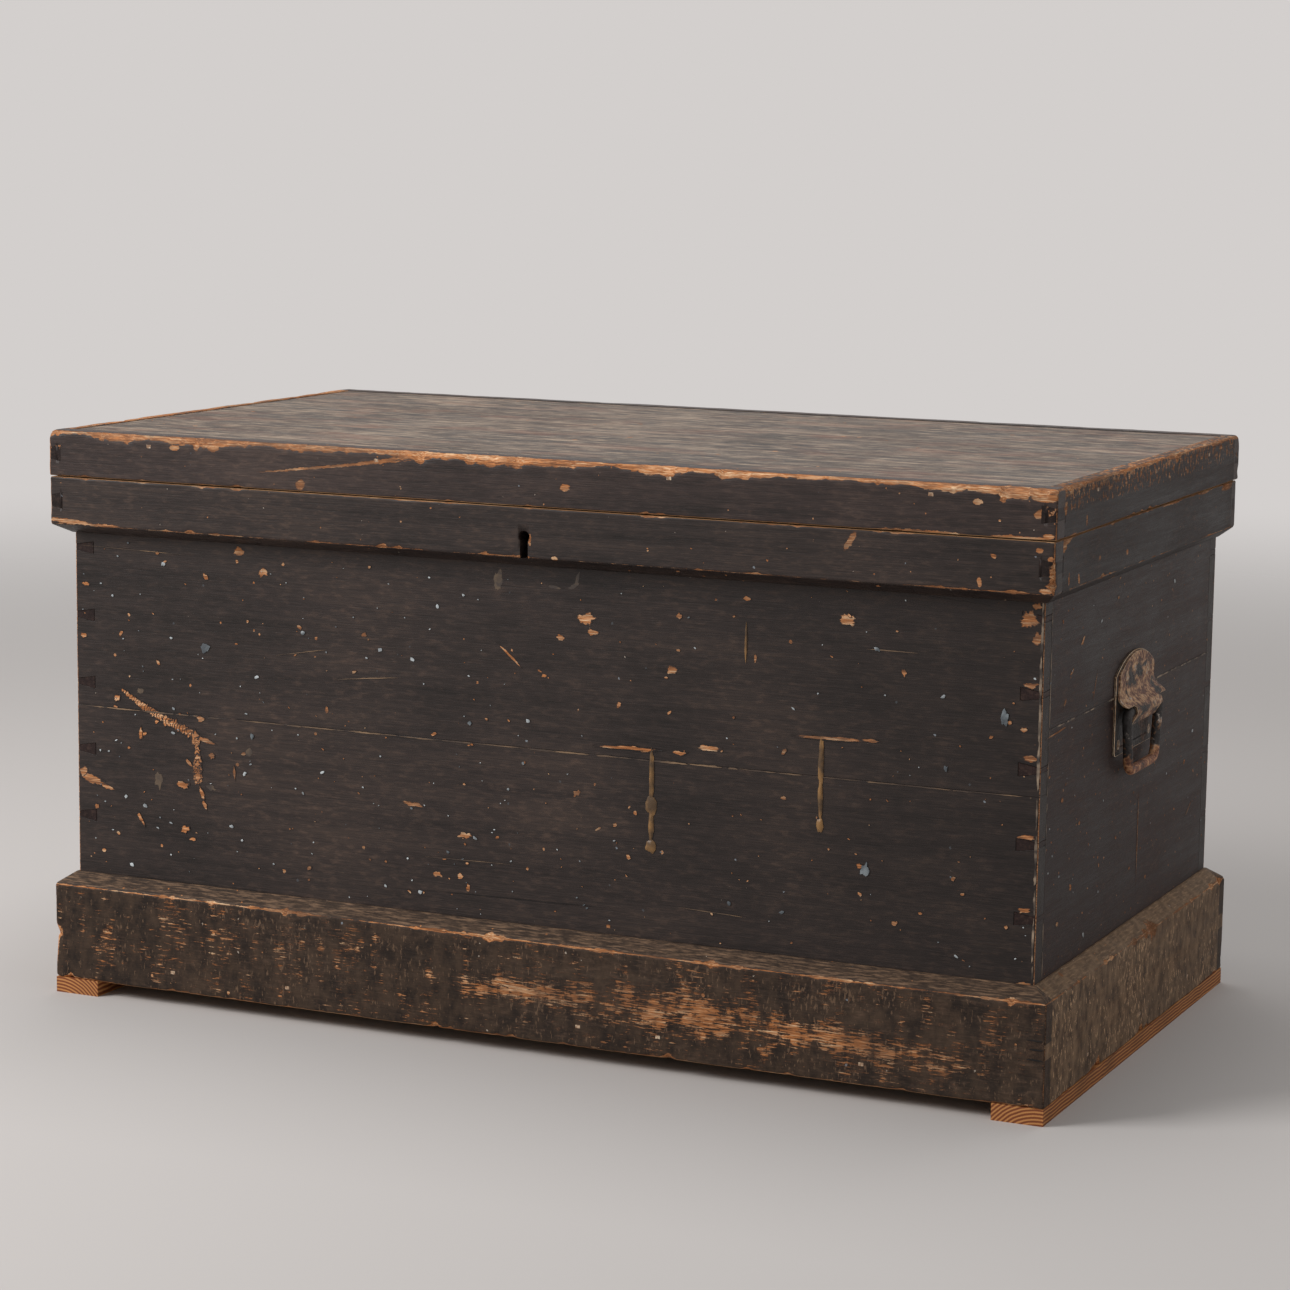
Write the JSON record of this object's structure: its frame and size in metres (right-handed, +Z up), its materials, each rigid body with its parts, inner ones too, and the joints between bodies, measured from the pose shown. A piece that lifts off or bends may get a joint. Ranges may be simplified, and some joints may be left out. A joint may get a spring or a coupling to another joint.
{
  "type": "military chest",
  "caption": "Painted pine military chest with dovetailed walls, a skirt and plinth, a hinged lid, a box lock and an iron drop handle at each end.",
  "frame": {"origin": "middle of the chest's outline, on the surface that it stands on", "axes": "+X along the front to the viewer's right, +Y to the back, +Z up"},
  "size_m": [1.004, 0.57, 0.548],
  "materials": {
    "painted_pine": "worn oil paint over pine",
    "bare_softwood": "raw sawn",
    "handle_iron": "pitted, old black paint and rust",
    "lock_iron": "dull oxidised",
    "screw_steel": "dull oxidised"
  },
  "bodies": {
    "carcass": {"back_board_lower": "painted_pine", "back_board_upper": "painted_pine", "bottom_board_1": "painted_pine", "bottom_board_2": "painted_pine", "bottom_board_3": "painted_pine", "bottom_nails": "screw_steel", "front_board_lower": "painted_pine", "front_board_upper": "painted_pine", "handle_backplate_left": "handle_iron", "handle_backplate_right": "handle_iron", "handle_hood_left": "handle_iron", "handle_hood_right": "handle_iron", "handle_screws_left": "screw_steel", "handle_screws_right": "screw_steel", "hinge_leaf_body_left": "lock_iron", "hinge_leaf_body_right": "lock_iron", "hinge_pin_left": "lock_iron", "hinge_pin_right": "lock_iron", "hinge_screws_body": "screw_steel", "left_board_lower": "painted_pine", "left_board_upper": "painted_pine", "lock_case": "lock_iron", "lock_case_screws": "screw_steel", "lock_cover": "lock_iron", "lock_drill_pin": "lock_iron", "lock_spring": "lock_iron", "plinth_back": "painted_pine", "plinth_front": "painted_pine", "plinth_left": "painted_pine", "plinth_nails": "screw_steel", "plinth_right": "painted_pine", "right_board_lower": "painted_pine", "right_board_upper": "painted_pine", "runner_left": "bare_softwood", "runner_nails": "screw_steel", "runner_right": "bare_softwood", "skirt_back": "painted_pine", "skirt_front": "painted_pine", "skirt_left": "painted_pine", "skirt_right": "painted_pine"},
    "lid": {"hinge_leaf_lid_left": "lock_iron", "hinge_leaf_lid_right": "lock_iron", "hinge_screws_lid": "screw_steel", "lid_board_1": "painted_pine", "lid_board_2": "painted_pine", "lid_board_3": "painted_pine", "lid_rim_back": "painted_pine", "lid_rim_front": "painted_pine", "lid_rim_left": "painted_pine", "lid_rim_right": "painted_pine", "link_plate_screws": "screw_steel", "lock_link_plate": "lock_iron", "rim_nails": "screw_steel"},
    "bail_right": {"handle_bail_right": "handle_iron"},
    "bail_left": {"handle_bail_left": "handle_iron"},
    "lock_bolt": {"lock_bolt": "lock_iron"}
  },
  "joints": [
    {"name": "lid_hinge", "type": "hinge", "parent": "carcass", "child": "lid", "pos_m": [0, 0.28, 0.5044], "axis": [-1, 0, 0], "range_deg": [0, 107]},
    {"name": "bail_right_pivot", "type": "hinge", "parent": "carcass", "child": "bail_right", "pos_m": [0.495, 0.001, 0.323], "axis": [0, -1, 0], "range_deg": [0, 90]},
    {"name": "bail_left_pivot", "type": "hinge", "parent": "carcass", "child": "bail_left", "pos_m": [-0.495, 0.001, 0.323], "axis": [0, 1, 0], "range_deg": [0, 90]},
    {"name": "lock_bolt_slide", "type": "slide", "parent": "carcass", "child": "lock_bolt", "axis": [1, 0, 0], "range_m": [0, 0.008]}
  ]
}
